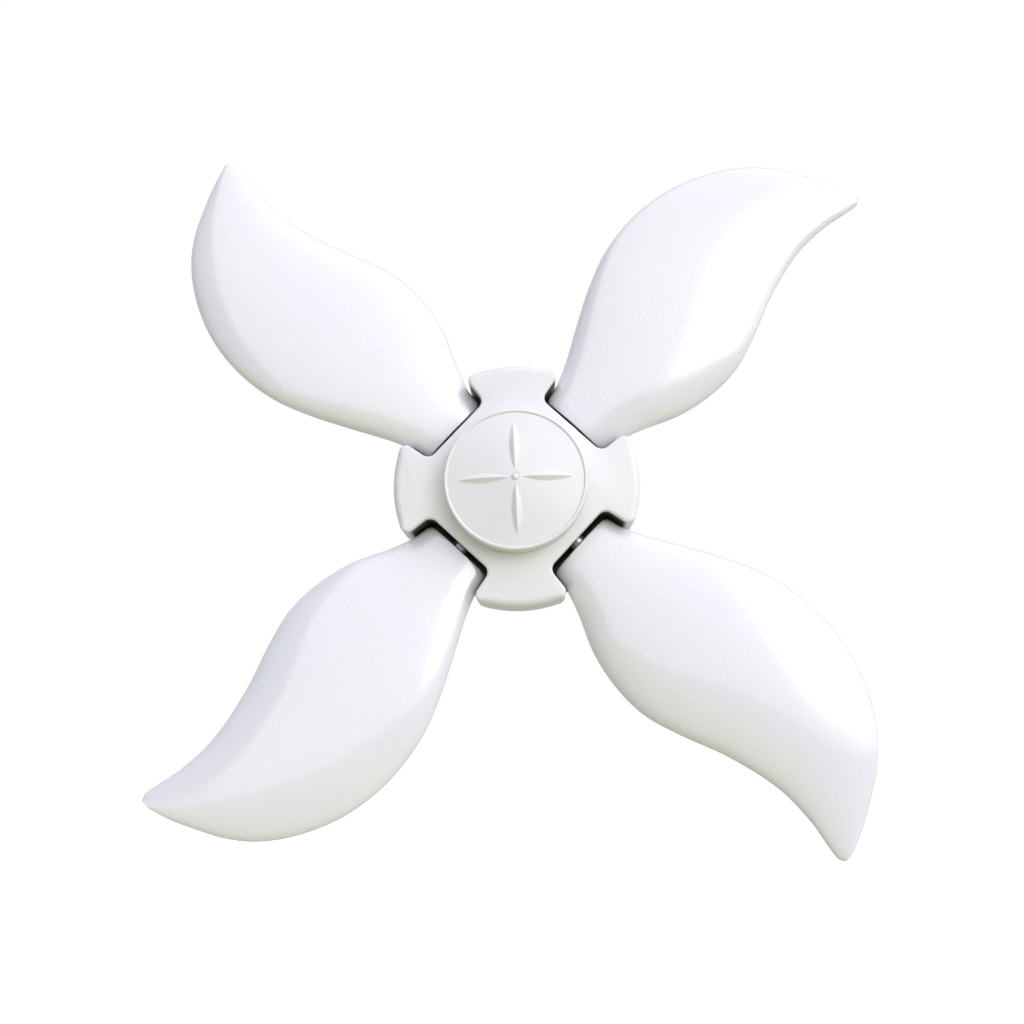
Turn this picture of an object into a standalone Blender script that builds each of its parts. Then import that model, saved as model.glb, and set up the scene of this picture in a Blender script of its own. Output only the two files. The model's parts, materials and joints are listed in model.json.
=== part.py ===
"""A four-blade wooden propeller with adjustable blades, turning on a flanged stub spindle.

Everything is modelled round the rotor's axis as local +Z, from the spindle flange's rear face at z = 0 to the
hub cap in front. The empty "rotor_axis" then lays that axis along world -Y, so the propeller stands upright
and faces -Y. Blades sit on the diagonals, each under an empty on its own pitch axis, with local +X running
out along the blade, +Y towards its leading edge and +Z towards the front.
"""

import math

import bmesh
import bpy
from mathutils import Matrix, Vector

MM = 0.001
GAP = 0.3 * MM  # between neighbouring solids that touch on the real object

# Driving dimensions of the rotor
BLADES = 4
HUB_RADIUS = 105 * MM
HUB_REAR = 18 * MM
HUB_FRONT = 62 * MM
PITCH_PLANE = (HUB_REAR + HUB_FRONT) / 2  # the blades' pitch axes, and the split between the hub plates

# Notch in the hub for each blade root, closed behind by a thin web
NOTCH_FLOOR = 69.5 * MM
NOTCH_FLOOR_HALF = 34.5 * MM
NOTCH_MOUTH = 97.5 * MM
NOTCH_MOUTH_HALF = 38.8 * MM
NOTCH_FILLET = 8 * MM
LOBE_TIP_FILLET = 6.5 * MM
EDGE_ROUND = 3.5 * MM
WEB_RADIUS = 98 * MM
WEB_REAR = HUB_REAR + 0.4 * MM
WEB_FRONT = HUB_REAR + 2.8 * MM

# Hub core, its bearings and the spindle
CORE_RADIUS = 58 * MM
CORE_REAR = 26 * MM
CORE_FRONT = 54 * MM
BARREL_RADIUS = 28 * MM
BARREL_REAR = 19 * MM
BARREL_FRONT = 61 * MM
BEARING_BORE = 10 * MM
BEARING_OUTER = 21 * MM
BEARING_WIDTH = 12 * MM
REAR_BEARING = 21 * MM
FRONT_BEARING = 47 * MM
BALL_RADIUS = 3 * MM
BALL_CIRCLE = 15.5 * MM
BALLS = 8
LAND_OFFSET = 2.3 * MM  # from the ball circle to each ring's land
SPINDLE_SHOULDER = 13 * MM
SPINDLE_END = 71 * MM
FLANGE_RADIUS = 46 * MM
FLANGE_THICKNESS = 8 * MM
FLANGE_HOLE_CIRCLE = 35 * MM
FLANGE_HOLE_RADIUS = 3.4 * MM

# Blade root and its steel stud
ROOT_FACE = 73.2 * MM
STUD_RADIUS = 8 * MM
STUD_SHANK_RADIUS = 6 * MM
STUD_INNER_END = 27.5 * MM
STUD_OUTER_END = 128 * MM
LOCK_GROOVE = 45 * MM
LOCK_GROOVE_HALF = 3.3 * MM
LOCK_GROOVE_RADIUS = 6.4 * MM
PIN_RADIUS = 2.5 * MM
PIN_STATION = 104 * MM
PIN_REAR = -12.2 * MM
PIN_FRONT = 8.2 * MM

# Fasteners
HUB_SCREW_CIRCLE = 84 * MM
HUB_SCREW_SEAT = HUB_REAR + 8.5 * MM
CORE_BOLT_CIRCLE = 44 * MM
M8 = 4 * MM
M6 = 3 * MM
M4 = 2 * MM
M4_CORE = 1.9 * MM  # the cap screw's thread, clear of the bridge
INSERT_RADIUS = 6 * MM
INSERT_DEPTH = 14 * MM
INSERT_COVER = 5.5 * MM  # of the front plate, over each insert's hole
SCREW_SEAT_RADIUS = 7 * MM
KEY_HOLE_RADIUS = 4.8 * MM
KEY_CLEARANCE = 0.4 * MM

# Hub cap
CAP_RADIUS = 60 * MM
CAP_RIM = HUB_FRONT + 19.4 * MM
CAP_APEX = HUB_FRONT + 26.8 * MM
CAP_WALL = 4 * MM
RIB_START = 5.5 * MM
RIB_LENGTH = 42 * MM
RIB_HALF_WIDTH = 3.4 * MM
RIB_HALF_HEIGHT = 2.4 * MM
BRIDGE_THICKNESS = 3 * MM
BRIDGE_TOP = 77 * MM

# Blade outline and section, as (distance out from the rotor's axis, value) in millimetres
LEADING_EDGE = [
    (73.2, 29.5), (75, 32.2), (78, 33.8), (85, 35), (92, 36.6), (112, 44.4), (144, 60.2), (176, 75),
    (208, 86), (240, 90.3), (272, 88.6), (304, 80.2), (336, 63.6), (360, 43.8), (376, 22.5), (388, -1.5),
    (396, -20), (401, -37),
]
TRAILING_EDGE = [
    (73.2, -29.5), (75, -32.2), (78, -33.8), (85, -35), (92, -36.4), (112, -44.5), (144, -60.5), (176, -69),
    (208, -70.4), (240, -62.8), (280, -49.5), (325, -41), (360, -42.8), (385, -48.5), (396, -50.5),
    (401, -48.5),
]
LEADING_HEIGHT = [(73.2, -1), (112, 3), (180, 8), (260, 9), (330, 9), (401, 8)]
TRAILING_HEIGHT = [(73.2, -3), (112, -2.5), (180, 0), (250, 4), (330, 7), (401, 8)]
FRONT_CROWN = [(73.2, 12), (110, 14.5), (150, 16), (210, 16), (290, 13.2), (350, 9.5), (401, 4.5)]
BACK_DEPTH = [(73.2, 12), (110, 12), (135, 11), (180, 9), (250, 7), (330, 5), (401, 3)]
STATIONS = [
    73.2, 74, 75.3, 78, 92, 108, 128, 154, 182, 210, 238, 266, 294, 320, 342, 360, 375, 386, 395, 401,
]
CHORD_STEPS = 8
SHARP_ANGLE = math.radians(40)

LOBE_ANGLES = [math.radians(90 * k) for k in range(BLADES)]
BLADE_ANGLES = [angle + math.radians(45) for angle in LOBE_ANGLES]


# ---------------------------------------------------------------- scene, materials and helpers


def clear_scene():
    for obj in list(bpy.data.objects):
        bpy.data.objects.remove(obj)


def new_collection(name, hidden=False):
    made = bpy.data.collections.new(name)
    bpy.context.scene.collection.children.link(made)
    made.hide_render = hidden
    return made


def new_material(name, colour, roughness, metallic):
    made = bpy.data.materials.new(name)
    made.use_nodes = True
    shader = made.node_tree.nodes["Principled BSDF"]
    shader.inputs["Base Color"].default_value = (*colour, 1)
    shader.inputs["Roughness"].default_value = roughness
    shader.inputs["Metallic"].default_value = metallic
    made.diffuse_color = (*colour, 1)
    return made


def make_materials():
    return {
        "blade_enamel": new_material("blade_enamel", (0.90, 0.91, 0.94), 0.2, 0),
        "hub_paint": new_material("hub_paint", (0.80, 0.82, 0.80), 0.42, 0),
        "aluminium": new_material("aluminium", (0.62, 0.63, 0.64), 0.35, 1),
        "steel": new_material("steel", (0.45, 0.45, 0.46), 0.3, 1),
        "bearing_steel": new_material("bearing_steel", (0.7, 0.7, 0.72), 0.15, 1),
        "brass": new_material("brass", (0.72, 0.56, 0.28), 0.3, 1),
        "rubber": new_material("rubber", (0.03, 0.03, 0.03), 0.8, 0),
    }


def new_empty(name, parent=None, location=(0, 0, 0), rotation=(0, 0, 0)):
    empty = bpy.data.objects.new(name, None)
    PARTS.objects.link(empty)
    empty.parent = parent
    empty.location = location
    empty.rotation_euler = rotation
    return empty


def add_object(name, mesh, parent, material=None, location=(0, 0, 0), rotation=(0, 0, 0)):
    """A part in its material or, with no material, a cutter."""
    obj = bpy.data.objects.new(name, mesh)
    obj.parent = parent
    obj.location = location
    obj.rotation_euler = rotation
    if material:
        PARTS.objects.link(obj)
        if not mesh.materials:
            mesh.materials.append(MATERIALS[material])
    else:
        CUTTERS.objects.link(obj)
        obj.hide_render = True
        obj.display_type = "WIRE"
    return obj


def mesh_of(name, build):
    """A mesh from a function that fills a bmesh."""
    mesh = bpy.data.meshes.new(name)
    bm = bmesh.new()
    build(bm)
    bm.to_mesh(mesh)
    bm.free()
    return mesh


def turned(name, profile, steps, parent, material, closed=True, location=(0, 0, 0), rotation=(0, 0, 0)):
    """A profile of (radius, z) points, run down its outer side, turned round local Z."""
    mesh = bpy.data.meshes.new(name)
    edges = [(i, i + 1) for i in range(len(profile) - 1)]
    if closed:
        edges.append((len(profile) - 1, 0))
    mesh.from_pydata([(radius, 0, z) for radius, z in profile], edges, [])
    obj = add_object(name, mesh, parent, material, location, rotation)
    screw = obj.modifiers.new("turn", "SCREW")
    screw.steps = screw.render_steps = steps
    screw.use_merge_vertices = True
    screw.merge_threshold = 0.01 * MM
    screw.use_smooth_shade = False
    return obj


def ring_profile(inner, outer, rear, front):
    return [(outer, front), (outer, rear), (inner, rear), (inner, front)]


def rod(
    name, radius, start, end, parent, material=None, segments=24, location=(0, 0, 0), rotation=(0, 0, 0)
):
    """A cylinder along local Z, from start to end."""

    def build(bm):
        middle = Matrix.Translation((0, 0, (start + end) / 2))
        bmesh.ops.create_cone(
            bm, cap_ends=True, segments=segments, radius1=radius, radius2=radius, depth=end - start,
            matrix=middle,
        )

    return add_object(name, mesh_of(name, build), parent, material, location, rotation)


def box(name, low, high, parent, location=(0, 0, 0), rotation=(0, 0, 0)):
    """A box-shaped cutter between two corners."""

    def build(bm):
        low_corner, high_corner = Vector(low), Vector(high)
        middle = Matrix.Translation((low_corner + high_corner) / 2)
        size = Matrix.Diagonal((*(high_corner - low_corner), 1))
        bmesh.ops.create_cube(bm, size=1, matrix=middle @ size)

    return add_object(name, mesh_of(name, build), parent, None, location, rotation)


def boolean(obj, other, operation="DIFFERENCE"):
    modifier = obj.modifiers.new(f"{operation.lower()} {other.name}", "BOOLEAN")
    modifier.operation = operation
    modifier.object = other
    modifier.solver = "EXACT"


def around(angle, distance, z=0):
    return (distance * math.cos(angle), distance * math.sin(angle), z)


def smooth_value(points, at):
    """The value at one distance out, on a smooth curve through (distance, value) points."""
    last = len(points) - 1
    slopes = []
    for i in range(last + 1):
        before, after = points[max(i - 1, 0)], points[min(i + 1, last)]
        slopes.append((after[1] - before[1]) / (after[0] - before[0]))
    index = next((i for i in range(last) if at <= points[i + 1][0]), last - 1)
    (x0, v0), (x1, v1) = points[index], points[index + 1]
    width = x1 - x0
    t = (at - x0) / width
    return (
        v0 * (1 + 2 * t) * (1 - t) ** 2
        + slopes[index] * width * t * (1 - t) ** 2
        + v1 * t * t * (3 - 2 * t)
        + slopes[index + 1] * width * t * t * (t - 1)
    )


# ---------------------------------------------------------------- hub plates


def fillet(before, corner, after, radius, steps=2):
    """The points of an arc that rounds one corner of an outline."""
    to_before = (before - corner).normalized()
    to_after = (after - corner).normalized()
    half = to_before.angle(to_after) / 2
    middle = corner + (to_before + to_after).normalized() * radius / math.sin(half)
    start = corner + to_before * radius / math.tan(half) - middle
    turn = math.copysign(math.pi - 2 * half, start.cross(corner - middle))
    return [middle + Matrix.Rotation(turn * i / steps, 2) @ start for i in range(steps + 1)]


def hub_outline():
    """The hub seen from the front: a round plate with a notch for each blade root, leaving a flared lobe
    between each pair of blades."""
    rim_steps = 6
    mouth_angle = math.atan2(NOTCH_MOUTH_HALF, NOTCH_MOUTH)
    corners = []
    for angle in BLADE_ANGLES:
        turn = Matrix.Rotation(angle, 2)
        corners += [
            (turn @ Vector((NOTCH_MOUTH, -NOTCH_MOUTH_HALF)), LOBE_TIP_FILLET),
            (turn @ Vector((NOTCH_FLOOR, -NOTCH_FLOOR_HALF)), NOTCH_FILLET),
            (turn @ Vector((NOTCH_FLOOR, NOTCH_FLOOR_HALF)), NOTCH_FILLET),
            (turn @ Vector((NOTCH_MOUTH, NOTCH_MOUTH_HALF)), LOBE_TIP_FILLET),
        ]
        lobe_width = math.radians(90) - 2 * mouth_angle
        for step in range(1, rim_steps):
            rim_angle = angle + mouth_angle + lobe_width * step / rim_steps
            corners.append((Vector(around(rim_angle, HUB_RADIUS)[:2]), 0))
    outline = []
    for i, (corner, radius) in enumerate(corners):
        before, after = corners[i - 1][0], corners[(i + 1) % len(corners)][0]
        outline += fillet(before, corner, after, radius) if radius else [corner]
    return outline


def hub_plate(name, inner_z, outer_z):
    """One half of the hub, flat where the halves meet and rounded along its outer face."""
    curve = bpy.data.curves.new(name, "CURVE")
    curve.dimensions = "2D"
    curve.fill_mode = "BOTH"
    curve.extrude = abs(outer_z - inner_z) / 2
    outline = hub_outline()
    spline = curve.splines.new("POLY")
    spline.points.add(len(outline) - 1)
    for point, place in zip(spline.points, outline):
        point.co = (*place, 0, 1)
    spline.use_cyclic_u = True
    drawn = bpy.data.objects.new(name + "_outline", curve)
    PARTS.objects.link(drawn)
    bpy.context.view_layer.update()
    depsgraph = bpy.context.evaluated_depsgraph_get()
    mesh = bpy.data.meshes.new_from_object(drawn.evaluated_get(depsgraph))
    bpy.data.objects.remove(drawn)
    mesh.name = name

    bm = bmesh.new()
    bm.from_mesh(mesh)
    bmesh.ops.translate(bm, verts=bm.verts, vec=(0, 0, (inner_z + outer_z) / 2))
    bmesh.ops.remove_doubles(bm, verts=bm.verts, dist=0.01 * MM)
    bmesh.ops.dissolve_limit(bm, angle_limit=math.radians(1), verts=bm.verts, edges=bm.edges)
    bmesh.ops.recalc_face_normals(bm, faces=bm.faces)
    weights = bm.edges.layers.float.new("bevel_weight_edge")
    for edge in bm.edges:
        edge[weights] = float(all(abs(vertex.co.z - outer_z) < GAP for vertex in edge.verts))
    bm.to_mesh(mesh)
    bm.free()

    plate = add_object(name, mesh, ROTOR, "hub_paint")
    bevel = plate.modifiers.new("rounded edge", "BEVEL")
    bevel.limit_method = "WEIGHT"
    bevel.width = EDGE_ROUND
    bevel.segments = 2
    bevel.use_clamp_overlap = False
    return plate


def make_hub_plates(stud_holes, core_bolt_holes):
    """The front and rear halves of the hub, clamped round the core by a screw through each lobe."""
    front = hub_plate("hub_front_plate", PITCH_PLANE + GAP / 2, HUB_FRONT)
    rear = hub_plate("hub_rear_plate", HUB_REAR, PITCH_PLANE - GAP / 2)
    boolean(rear, rod("web", WEB_RADIUS, WEB_REAR, WEB_FRONT, ROTOR, segments=64), "UNION")
    beyond = 5 * MM
    low, high = HUB_REAR - beyond, HUB_FRONT + beyond
    cavity = rod("core_cavity", CORE_RADIUS + GAP, CORE_REAR - GAP, CORE_FRONT + GAP, ROTOR, segments=32)
    barrel = rod("barrel_hole", BARREL_RADIUS + GAP, low, high, ROTOR, segments=32)
    for plate in (front, rear):
        for cutter in [cavity, barrel, *stud_holes, *core_bolt_holes]:
            boolean(plate, cutter)

    for k, angle in enumerate(LOBE_ANGLES, 1):
        place = around(angle, HUB_SCREW_CIRCLE)
        for plate, name, radius, start, end in (
            (front, "insert_hole", INSERT_RADIUS + GAP, PITCH_PLANE - beyond, HUB_FRONT - INSERT_COVER),
            (rear, "hub_screw_hole", M8 + GAP, low, PITCH_PLANE + beyond),
            (rear, "hub_screw_seat", SCREW_SEAT_RADIUS, low, HUB_SCREW_SEAT + GAP),
        ):
            boolean(plate, rod(f"{name}_{k}", radius, start, end, ROTOR, segments=12, location=place))
    for k, angle in enumerate(BLADE_ANGLES, 1):
        key_hole = rod(
            f"key_hole_{k}", KEY_HOLE_RADIUS, CORE_FRONT - beyond, high, ROTOR, segments=12,
            location=around(angle, LOCK_GROOVE),
        )
        boolean(front, key_hole)


# ---------------------------------------------------------------- hub core, bearings and spindle


def make_hub_core(stud_holes, core_bolt_holes):
    """A turned aluminium core between the plates: a disc that holds the blade studs, on a barrel that holds
    both bearings against an inner shoulder."""
    seat = BEARING_OUTER + GAP
    shoulder = BEARING_OUTER - 2.5 * MM
    profile = [
        (seat, BARREL_FRONT), (BARREL_RADIUS, BARREL_FRONT),
        (BARREL_RADIUS, CORE_FRONT), (CORE_RADIUS, CORE_FRONT),
        (CORE_RADIUS, CORE_REAR), (BARREL_RADIUS, CORE_REAR),
        (BARREL_RADIUS, BARREL_REAR), (seat, BARREL_REAR),
        (seat, REAR_BEARING + BEARING_WIDTH + GAP), (shoulder, REAR_BEARING + BEARING_WIDTH + GAP),
        (shoulder, FRONT_BEARING - GAP), (seat, FRONT_BEARING - GAP),
    ]
    core = turned("hub_core", profile, 32, ROTOR, "aluminium")
    for hole in [*stud_holes, *core_bolt_holes]:
        boolean(core, hole)
    for k, angle in enumerate(BLADE_ANGLES, 1):
        thread = rod(
            f"lock_screw_hole_{k}", M8 + GAP, PITCH_PLANE + 4 * MM, CORE_FRONT + 4 * MM, ROTOR, segments=12,
            location=around(angle, LOCK_GROOVE),
        )
        boolean(core, thread)


def make_bearing(side, rear):
    """A deep-groove ball bearing: inner ring, outer ring, and its balls in their cage."""
    front = rear + BEARING_WIDTH
    middle = rear + BEARING_WIDTH / 2
    groove_half = 3.4 * MM
    inner_land, inner_race = BALL_CIRCLE - LAND_OFFSET, BALL_CIRCLE - BALL_RADIUS - GAP
    outer_land, outer_race = BALL_CIRCLE + LAND_OFFSET, BALL_CIRCLE + BALL_RADIUS + GAP
    inner = [
        (inner_land, front), (inner_land, middle + groove_half), (inner_race, middle),
        (inner_land, middle - groove_half), (inner_land, rear), (BEARING_BORE + GAP, rear),
        (BEARING_BORE + GAP, front),
    ]
    outer = [
        (BEARING_OUTER, front), (BEARING_OUTER, rear), (outer_land, rear),
        (outer_land, middle - groove_half), (outer_race, middle), (outer_land, middle + groove_half),
        (outer_land, front),
    ]
    turned(f"{side}_bearing_inner_ring", inner, 20, ROTOR, "bearing_steel")
    turned(f"{side}_bearing_outer_ring", outer, 28, ROTOR, "bearing_steel")

    def balls(bm):
        for i in range(BALLS):
            place = Matrix.Translation(around(2 * math.pi * i / BALLS, BALL_CIRCLE, middle))
            bmesh.ops.create_uvsphere(bm, u_segments=6, v_segments=4, radius=BALL_RADIUS, matrix=place)

    ball_set = add_object(f"{side}_balls", mesh_of(f"{side}_balls", balls), ROTOR)
    band, half_height = 0.8 * MM, 1.3 * MM
    cage = turned(
        f"{side}_bearing_balls_and_cage",
        ring_profile(BALL_CIRCLE - band, BALL_CIRCLE + band, middle - half_height, middle + half_height),
        24, ROTOR, "brass",
    )
    boolean(cage, ball_set, "UNION")


def make_spindle():
    """The fixed stub spindle and what sits on it. It has a bolt-on flange, a shoulder for the rear bearing
    and a threaded front end."""
    chamfer = 1 * MM
    foot = 4 * MM
    washer_rear = FRONT_BEARING + BEARING_WIDTH + GAP
    washer_front = washer_rear + 2 * MM
    thread = BEARING_BORE - GAP
    profile = [
        (0, SPINDLE_END), (thread - chamfer, SPINDLE_END), (thread, SPINDLE_END - chamfer),
        (thread, washer_rear), (BEARING_BORE, washer_rear - chamfer), (BEARING_BORE, REAR_BEARING - GAP),
        (SPINDLE_SHOULDER, REAR_BEARING - GAP), (SPINDLE_SHOULDER, FLANGE_THICKNESS + foot),
        (SPINDLE_SHOULDER + foot, FLANGE_THICKNESS), (FLANGE_RADIUS - chamfer, FLANGE_THICKNESS),
        (FLANGE_RADIUS, FLANGE_THICKNESS - chamfer), (FLANGE_RADIUS, 0), (0, 0),
    ]
    spindle = turned("spindle", profile, 28, ROTOR, "steel", closed=False)
    for k, angle in enumerate(BLADE_ANGLES, 1):
        hole = rod(
            f"flange_hole_{k}", FLANGE_HOLE_RADIUS, -5 * MM, FLANGE_THICKNESS + 5 * MM, ROTOR, segments=12,
            location=around(angle, FLANGE_HOLE_CIRCLE),
        )
        boolean(spindle, hole)

    bore = BEARING_BORE + GAP
    rear_ring_front = REAR_BEARING + BEARING_WIDTH
    spacer = ring_profile(bore, BALL_CIRCLE - LAND_OFFSET, rear_ring_front + GAP, FRONT_BEARING - GAP)
    washer = ring_profile(bore, 15 * MM, washer_rear, washer_front)
    turned("bearing_spacer", spacer, 24, ROTOR, "steel")
    turned("spindle_washer", washer, 24, ROTOR, "steel")
    nut_corner = 17.3 * MM
    nut_front = washer_front + 8 * MM
    nut = rod("spindle_nut", nut_corner, washer_front + GAP, nut_front, ROTOR, "steel", segments=6)
    boolean(nut, rod("spindle_nut_bore", BEARING_BORE, washer_rear, SPINDLE_END + 5 * MM, ROTOR))

    lip_front, lip_rear, body_front, body_rear = 18.6 * MM, 17.4 * MM, 16.4 * MM, 13.5 * MM
    seal = [
        (SPINDLE_SHOULDER + GAP, lip_front), (22 * MM, lip_front), (21 * MM, lip_rear),
        (17 * MM, body_front), (17 * MM, body_rear), (SPINDLE_SHOULDER + GAP, body_rear),
    ]
    turned("dust_seal", seal, 24, ROTOR, "rubber")


# ---------------------------------------------------------------- hub cap and fasteners


def cap_height(radius):
    """The cap's outer face between its centre and its rim bead: a shallow cone, slightly domed."""
    inside_bead = CAP_RADIUS - 3 * MM
    bead_foot = CAP_RIM - 1.2 * MM
    out = radius / inside_bead
    doming = 0.3
    return bead_foot + (CAP_APEX - bead_foot) * ((1 - doming) * (1 - out) + doming * (1 - out**2))


def make_cap():
    """A shallow cone with a raised rim bead and four ribs in a cross, held by one screw in its centre."""
    hole, recess, recess_floor = M4 + GAP, 3.8 * MM, CAP_APEX - 1 * MM
    dome = [(radius * MM, cap_height(radius * MM)) for radius in (3.8, 20, 40, 57)]
    inner_wall = CAP_RADIUS - CAP_WALL
    inside = [(radius * MM, cap_height(radius * MM) - CAP_WALL) for radius in (50, 30)]
    foot = HUB_FRONT + GAP
    profile = [
        (hole, recess_floor), (recess, recess_floor), *dome, (CAP_RADIUS - 2.2 * MM, CAP_RIM),
        (CAP_RADIUS - 0.8 * MM, CAP_RIM), (CAP_RADIUS, CAP_RIM - 0.9 * MM), (CAP_RADIUS, foot),
        (inner_wall, foot), (inner_wall, cap_height(inner_wall) - CAP_WALL - 1 * MM), *inside,
        (hole, CAP_APEX - CAP_WALL),
    ]
    cap = turned("hub_cap", profile, 36, ROTOR, "hub_paint")
    for k, angle in enumerate(LOBE_ANGLES, 1):
        middle = RIB_START + RIB_LENGTH / 2
        slope = math.atan2(cap_height(middle - MM) - cap_height(middle + MM), 2 * MM)

        def rib(bm):
            size = Matrix.Diagonal((RIB_LENGTH / 2, RIB_HALF_WIDTH, RIB_HALF_HEIGHT, 1))
            bmesh.ops.create_uvsphere(bm, u_segments=10, v_segments=6, radius=1, matrix=size)

        name = f"cap_rib_{k}"
        place = around(angle, middle, cap_height(middle) - 0.4 * MM)
        helper = add_object(name, mesh_of(name, rib), ROTOR, location=place, rotation=(0, slope, angle))
        boolean(cap, helper, "UNION")

    head_rear = recess_floor + GAP
    tip = BRIDGE_TOP - 4 * MM
    screw = [
        (0, head_rear + 1.9 * MM), (1.8 * MM, head_rear + 1.5 * MM), (3 * MM, head_rear + 0.5 * MM),
        (3 * MM, head_rear), (M4_CORE, head_rear), (M4_CORE, tip + 0.5 * MM), (0, tip),
    ]
    turned("cap_screw", screw, 12, ROTOR, "steel", closed=False)


def make_cap_bridge(core_bolt_holes):
    """A bent steel strap across the front of the hub, which the cap screw threads into."""
    foot_rear = HUB_FRONT + GAP
    top_rear = BRIDGE_TOP - BRIDGE_THICKNESS
    half_width = 7 * MM
    bend = [(-52 * MM, foot_rear), (-35 * MM, foot_rear), (-27 * MM, top_rear)]
    bend += [(-x, z) for x, z in reversed(bend)]

    def strip(bm):
        sides = []
        for y in (-half_width, half_width):
            sides.append([bm.verts.new((x, y, z)) for x, z in bend])
        for i in range(len(bend) - 1):
            bm.faces.new((sides[0][i], sides[0][i + 1], sides[1][i + 1], sides[1][i]))

    bridge = add_object("cap_bridge", mesh_of("cap_bridge", strip), ROTOR, "steel")
    thicken = bridge.modifiers.new("sheet thickness", "SOLIDIFY")
    thicken.thickness = BRIDGE_THICKNESS
    thicken.offset = 1
    thicken.use_even_offset = True
    boolean(bridge, rod("bridge_thread", M4 + GAP, 60 * MM, 90 * MM, ROTOR, segments=16))
    for hole in core_bolt_holes[::2]:
        boolean(bridge, hole)


def make_core_bolts(core_bolt_holes):
    """Four M6 bolts hold the core between the plates, with their nuts behind. Two hold the bridge too."""
    across_corners, head, nut_depth = 5.6 * MM, 4 * MM, 5 * MM
    nut_front = HUB_REAR - GAP
    tip = HUB_REAR - 7 * MM
    for k, (angle, hole) in enumerate(zip(LOBE_ANGLES, core_bolt_holes), 1):
        seat = HUB_FRONT + GAP
        if k % 2:
            seat += BRIDGE_THICKNESS + GAP
        place = around(angle, CORE_BOLT_CIRCLE)
        hexagon = {"material": "steel", "segments": 6, "location": place}
        bolt = rod(f"core_bolt_{k}", across_corners, seat, seat + head, ROTOR, **hexagon)
        shank = rod(f"core_bolt_shank_{k}", M6, tip, seat + head / 2, ROTOR, segments=12, location=place)
        boolean(bolt, shank, "UNION")
        nut = rod(f"core_nut_{k}", across_corners, nut_front - nut_depth, nut_front, ROTOR, **hexagon)
        boolean(nut, hole)


def make_hub_screws():
    """A socket-head M8 screw through each lobe from behind, into a brass insert in the front plate."""
    head_front = HUB_SCREW_SEAT
    head_rear = head_front - 8 * MM
    tip = head_front + 28 * MM
    head = 6.5 * MM
    chamfer = 0.5 * MM
    socket_corner, socket_depth = 3.46 * MM, 4 * MM
    profile = [
        (0, tip), (M8 - chamfer, tip), (M8, tip - chamfer), (M8, head_front), (head, head_front),
        (head, head_rear + chamfer), (head - chamfer, head_rear), (0, head_rear),
    ]
    insert_rear = PITCH_PLANE + 1 * MM
    insert = ring_profile(M8 + GAP, INSERT_RADIUS, insert_rear, insert_rear + INSERT_DEPTH)
    for k, angle in enumerate(LOBE_ANGLES, 1):
        place = around(angle, HUB_SCREW_CIRCLE)
        screw = turned(f"hub_screw_{k}", profile, 12, ROTOR, "steel", closed=False, location=place)
        socket = rod(
            f"hub_screw_socket_{k}", socket_corner, head_rear - socket_depth, head_rear + socket_depth, ROTOR,
            segments=6, location=place,
        )
        boolean(screw, socket)
        turned(f"threaded_insert_{k}", insert, 12, ROTOR, "brass", location=place)


def make_lock_screws():
    """A dog-point grub screw for each blade, reached through the front plate: it holds the stud by its
    groove, and tightening it locks the blade's pitch."""
    top = CORE_FRONT - KEY_CLEARANCE
    dog_top = PITCH_PLANE + STUD_RADIUS + 0.5 * MM
    dog_tip = PITCH_PLANE + LOCK_GROOVE_RADIUS + KEY_CLEARANCE
    dog = 2.6 * MM
    socket_corner, socket_depth = 2.3 * MM, 3.5 * MM
    profile = [(0, top), (M8, top), (M8, dog_top), (dog, dog_top), (dog, dog_tip), (0, dog_tip)]
    for k, angle in enumerate(BLADE_ANGLES, 1):
        place = around(angle, LOCK_GROOVE)
        screw = turned(f"pitch_lock_screw_{k}", profile, 12, ROTOR, "steel", closed=False, location=place)
        socket = rod(
            f"lock_screw_socket_{k}", socket_corner, top - socket_depth, top + socket_depth, ROTOR,
            segments=6, location=place,
        )
        boolean(screw, socket)


# ---------------------------------------------------------------- blades and studs


def blade_section(station):
    """One closed ring of points across the blade: along the crowned front from the leading to the trailing
    edge, and back along the flatter rear face."""
    lead, lead_z = smooth_value(LEADING_EDGE, station), smooth_value(LEADING_HEIGHT, station)
    trail, trail_z = smooth_value(TRAILING_EDGE, station), smooth_value(TRAILING_HEIGHT, station)
    crown, depth = smooth_value(FRONT_CROWN, station), smooth_value(BACK_DEPTH, station)
    ring = []
    for i in range(2 * CHORD_STEPS):
        turn = math.pi * i / CHORD_STEPS
        across = (1 - math.cos(turn)) / 2
        fullness = abs(math.sin(turn)) ** 0.8
        height = crown if i <= CHORD_STEPS else -depth
        z = lead_z + (trail_z - lead_z) * across + height * fullness
        ring.append(Vector((station, lead + (trail - lead) * across, z)) * MM)
    return ring


def loft_blade(bm):
    rings = [[bm.verts.new(point) for point in blade_section(station)] for station in STATIONS]
    for inner, outer in zip(rings, rings[1:]):
        for i in range(len(inner)):
            j = (i + 1) % len(inner)
            bm.faces.new((inner[i], outer[i], outer[j], inner[j]))
    bm.faces.new(rings[0])
    bm.faces.new(reversed(rings[-1]))
    bmesh.ops.recalc_face_normals(bm, faces=bm.faces)


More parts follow.
